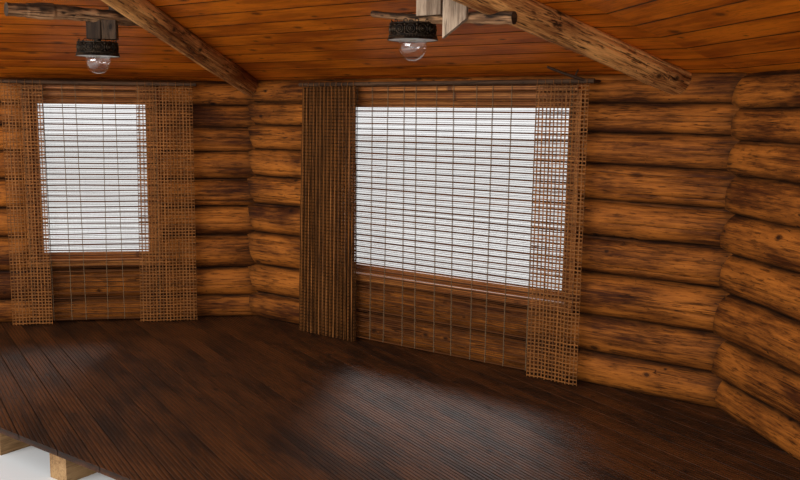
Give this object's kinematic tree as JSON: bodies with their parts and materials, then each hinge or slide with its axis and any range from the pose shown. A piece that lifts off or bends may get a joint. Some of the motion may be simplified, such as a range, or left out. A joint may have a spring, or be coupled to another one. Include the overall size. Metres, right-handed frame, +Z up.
{
  "type": "window bay of a log cabin",
  "caption": "Bay of an eight-sided log cabin: scribed round-log walls, boarded floor and sloping roof, windows with blinds and curtains, open at the front.",
  "frame": {"origin": "middle of the base, on the ground under the bay", "axes": "+X to the right for someone in the room who faces the middle wall, +Y outdoors through that wall, +Z up; the open front faces -Y"},
  "size_m": [10.2298, 3.22, 2.8583],
  "materials": {
    "wall_log": "oiled round logs with dark checks and knots",
    "rafter_log": "oiled round log",
    "ceiling_board": "varnished narrow boards",
    "roof_board": "weathered outdoor boards",
    "floor_board": "dark worn ribbed boards",
    "rough_timber": "sawn timber",
    "window_wood": "lacquered pine",
    "window_glass": "clear pane",
    "cane_blind": "split cane slats on cords",
    "reed_curtain": "open woven reed",
    "rod_wood": "peeled pole",
    "lamp_metal": "aged dark metal",
    "lamp_glass": "clear glass bowl",
    "weathered_wood": "grey weathered wood"
  },
  "bodies": {
    "root": {"ceiling_centre": "ceiling_board", "ceiling_left": "ceiling_board", "ceiling_right": "ceiling_board", "centre_wall_log_1": "wall_log", "centre_wall_log_2": "wall_log", "centre_wall_log_3": "wall_log", "centre_wall_log_4": "wall_log", "centre_wall_log_5": "wall_log", "centre_wall_log_6": "wall_log", "centre_wall_log_7": "wall_log", "centre_wall_log_8": "wall_log", "centre_wall_log_9": "wall_log", "centre_wall_sill_log": "wall_log", "centre_window_blind": "cane_blind", "centre_window_frame": "window_wood", "centre_window_glass": "window_glass", "centre_window_left_curtain": "reed_curtain", "centre_window_right_curtain": "reed_curtain", "centre_window_rod": "rod_wood", "floor_deck": "floor_board", "floor_joists": "rough_timber", "lamp_globes": "lamp_glass", "lamp_housings": "lamp_metal", "left_lamp_block": "weathered_wood", "left_lamp_pole": "weathered_wood", "left_window_blind": "cane_blind", "left_window_far_curtain": "reed_curtain", "left_window_frame": "window_wood", "left_window_glass": "window_glass", "left_window_near_curtain": "reed_curtain", "left_window_rod": "rod_wood", "rafter_left": "rafter_log", "rafter_right": "rafter_log", "right_lamp_pole": "weathered_wood", "right_lamp_posts": "weathered_wood", "roof_centre": "roof_board", "roof_left": "roof_board", "roof_right": "roof_board", "side_wall_logs_1": "wall_log", "side_wall_logs_2": "wall_log", "side_wall_logs_3": "wall_log", "side_wall_logs_4": "wall_log", "side_wall_logs_5": "wall_log", "side_wall_logs_6": "wall_log", "side_wall_logs_7": "wall_log", "side_wall_logs_8": "wall_log", "side_wall_logs_9": "wall_log", "side_wall_sill_logs": "wall_log"}
  },
  "joints": []
}
